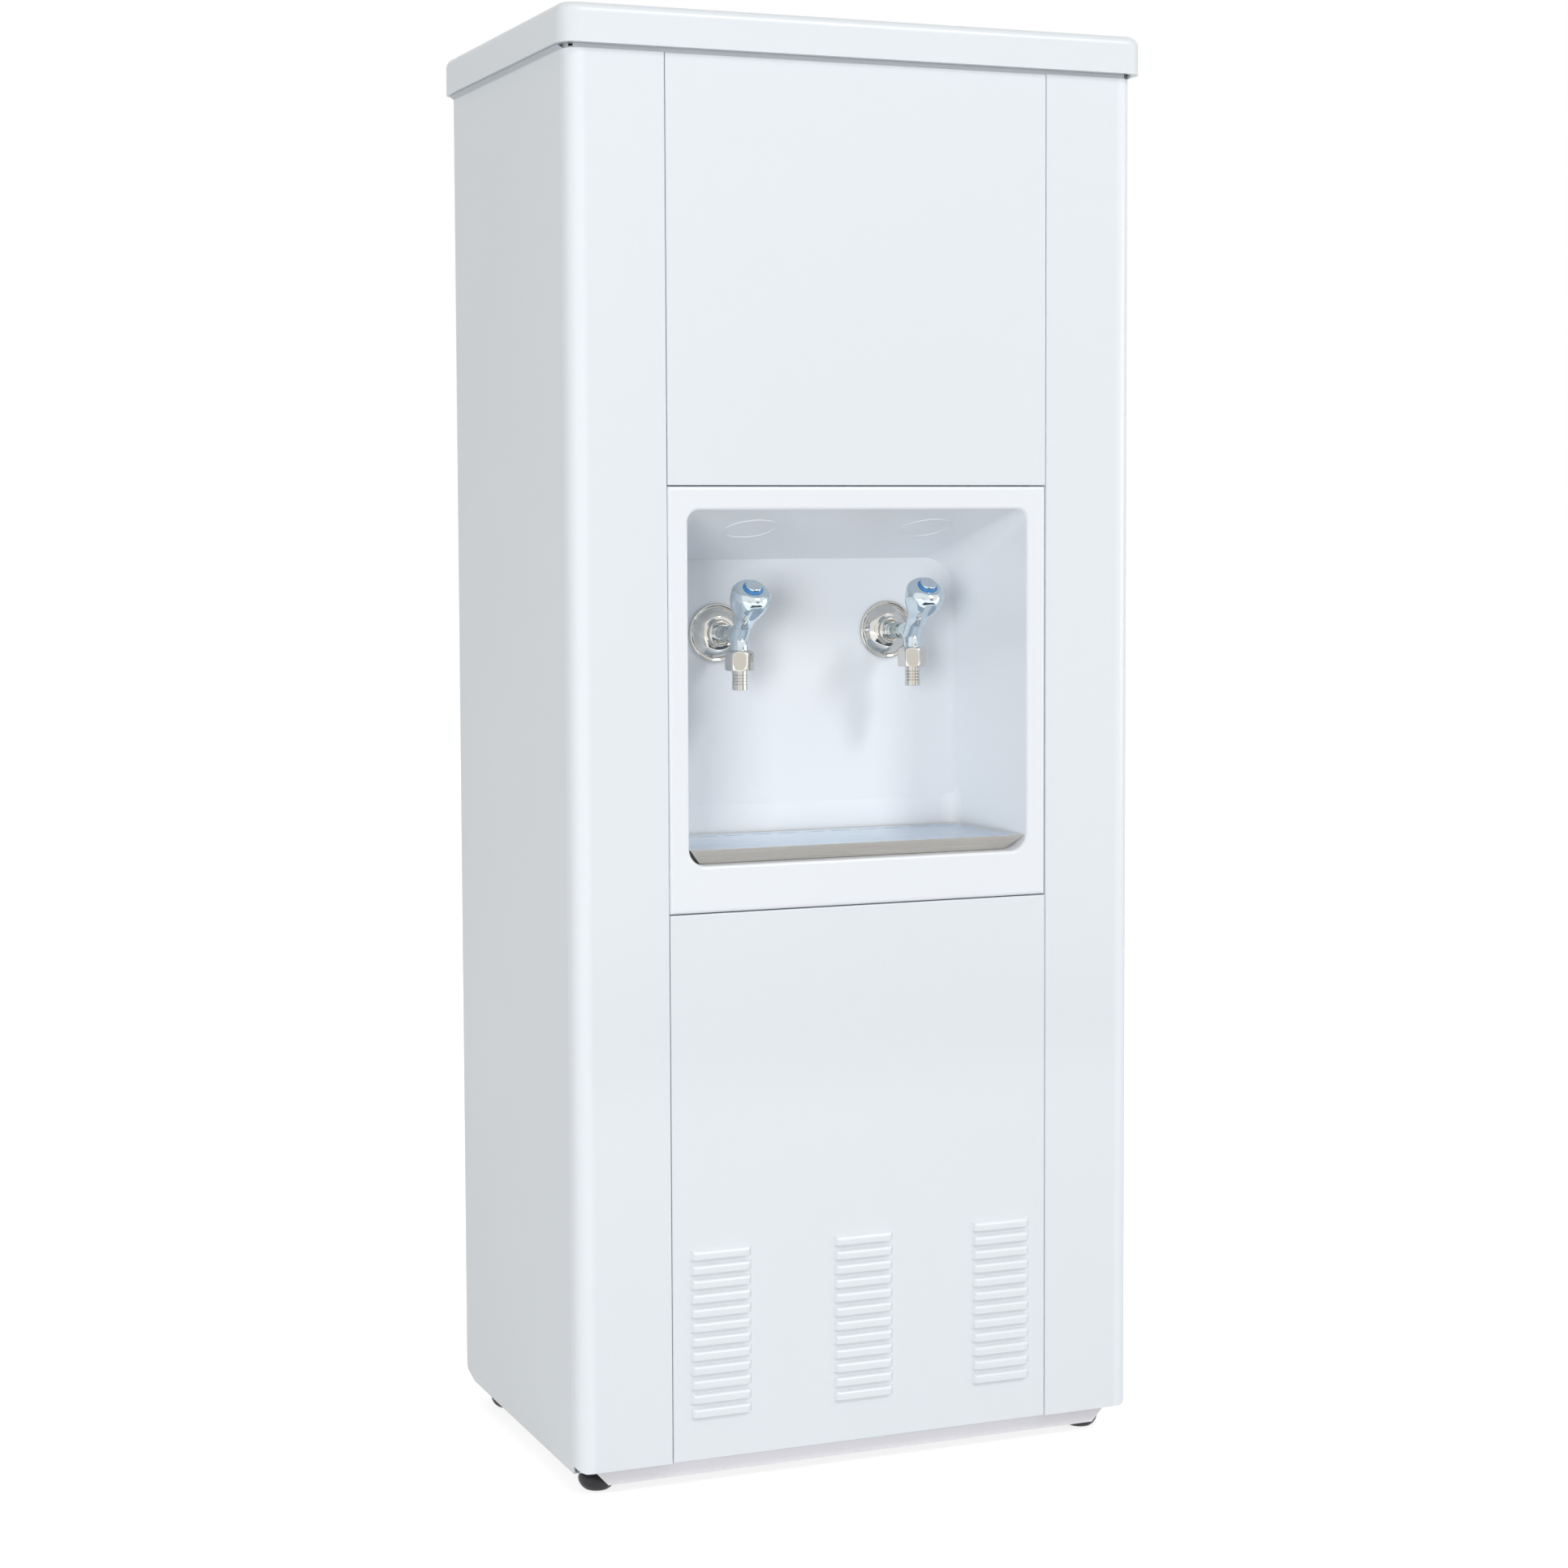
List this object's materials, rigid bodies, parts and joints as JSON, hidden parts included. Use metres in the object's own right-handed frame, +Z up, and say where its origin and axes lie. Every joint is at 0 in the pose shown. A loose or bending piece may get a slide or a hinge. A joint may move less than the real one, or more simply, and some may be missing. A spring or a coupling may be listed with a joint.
{
  "type": "storage water cooler",
  "caption": "Free-standing storage water cooler: tall sheet-steel cabinet with an overhanging lid, a tap recess with chrome taps over a drip tray, and louvres below.",
  "frame": {"origin": "bottom centre of the whole cooler's box, on the floor under the feet", "axes": "+X to the right of someone facing the taps, +Y towards the back, +Z up; the taps face -Y"},
  "size_m": [0.54, 0.3574, 1.25],
  "materials": {
    "enamel": "gloss",
    "white_abs": "gloss",
    "neck_paint": "satin",
    "grey_paint": "satin",
    "zinc_sheet": "satin",
    "stainless": "satin",
    "tray_steel": "satin",
    "chrome": "polished",
    "blue_ring": "gloss",
    "foot_rubber": "matte",
    "grommet_rubber": "matte",
    "hose": "satin",
    "foam": "matte",
    "copper": "satin",
    "brass": "satin",
    "black_paint": "gloss",
    "fin_aluminium": "satin",
    "black_plastic": "matte",
    "grey_plastic": "matte",
    "float_plastic": "gloss"
  },
  "bodies": {
    "cabinet": {"left_side_panel": "enamel", "right_side_panel": "enamel", "upper_front_panel": "enamel", "lower_front_panel": "enamel", "tap_recess": "white_abs", "back_panel": "zinc_sheet", "panel_screws": "zinc_sheet", "top_frame": "neck_paint", "base_pan": "grey_paint", "foot_lock_nuts": "zinc_sheet", "tap_rosettes": "chrome", "tap_bonnets": "brass", "tap_back_nuts": "brass", "tap_union_nuts": "chrome", "left_tap_body": "chrome", "left_hose_tail": "chrome", "left_tap_hose": "hose", "right_tap_body": "chrome", "right_hose_tail": "chrome", "right_tap_hose": "hose", "tank_shelf": "zinc_sheet", "tank_insulation": "foam", "storage_tank": "stainless", "tank_cover": "stainless", "evaporator_coil": "copper", "float_valve": "brass", "inlet_fitting": "brass", "inlet_pipe": "copper", "drain_outlet": "grey_plastic", "drain_hose": "hose", "terminal_box": "black_plastic", "cable_gland": "black_plastic", "thermostat_body": "grey_plastic", "compressor_base_plate": "black_paint", "compressor_grommets": "grommet_rubber", "compressor_shell": "black_paint", "compressor_terminal_cover": "black_plastic", "condenser_fin_pack": "fin_aluminium", "condenser_tubes": "copper", "fan_shroud": "zinc_sheet", "fan_motor": "black_paint", "filter_drier": "copper", "refrigerant_pipes": "copper"},
    "lid": {"top_lid": "white_abs", "lid_insulation": "foam"},
    "left_handle": {"left_tap_handle": "chrome", "left_tap_index": "blue_ring"},
    "right_handle": {"right_tap_handle": "chrome", "right_tap_index": "blue_ring"},
    "tray": {"drip_tray": "tray_steel", "drip_tray_cover": "tray_steel"},
    "fan": {"fan_blades": "grey_plastic"},
    "float": {"float_arm": "brass", "float_ball": "float_plastic"},
    "knob": {"thermostat_knob": "black_plastic"},
    "front_left_foot": {"foot_front_left": "foot_rubber"},
    "front_right_foot": {"foot_front_right": "foot_rubber"},
    "rear_left_foot": {"foot_rear_left": "foot_rubber"},
    "rear_right_foot": {"foot_rear_right": "foot_rubber"}
  },
  "joints": [
    {"name": "lid_lift", "type": "slide", "parent": "cabinet", "child": "lid", "axis": [0, 0, 1], "range_m": [0, 0.06]},
    {"name": "left_handle_turn", "type": "hinge", "parent": "cabinet", "child": "left_handle", "pos_m": [-0.083, -0.09525, 0.727], "axis": [0, -0.6157, 0.788], "range_deg": [0, 180]},
    {"name": "right_handle_turn", "type": "hinge", "parent": "cabinet", "child": "right_handle", "pos_m": [0.083, -0.09525, 0.727], "axis": [0, -0.6157, 0.788], "range_deg": [0, 180]},
    {"name": "tray_slide", "type": "slide", "parent": "cabinet", "child": "tray", "axis": [0, -1, 0], "range_m": [0, 0.13]},
    {"name": "fan_spin", "type": "hinge", "parent": "cabinet", "child": "fan", "pos_m": [0.07, -0.075, 0.146], "axis": [0, 1, 0], "continuous": true},
    {"name": "float_swing", "type": "hinge", "parent": "cabinet", "child": "float", "pos_m": [0.12, 0.08305, 1.13], "axis": [-1, 0, 0], "range_deg": [0, 45]},
    {"name": "knob_turn", "type": "hinge", "parent": "cabinet", "child": "knob", "pos_m": [0.15, 0.16275, 0.4], "axis": [0, 1, 0], "range_deg": [0, 270]},
    {"name": "front_left_foot_level", "type": "slide", "parent": "cabinet", "child": "front_left_foot", "axis": [0, 0, -1], "range_m": [0, 0.01]},
    {"name": "front_right_foot_level", "type": "slide", "parent": "cabinet", "child": "front_right_foot", "axis": [0, 0, -1], "range_m": [0, 0.01]},
    {"name": "rear_left_foot_level", "type": "slide", "parent": "cabinet", "child": "rear_left_foot", "axis": [0, 0, -1], "range_m": [0, 0.01]},
    {"name": "rear_right_foot_level", "type": "slide", "parent": "cabinet", "child": "rear_right_foot", "axis": [0, 0, -1], "range_m": [0, 0.01]}
  ]
}
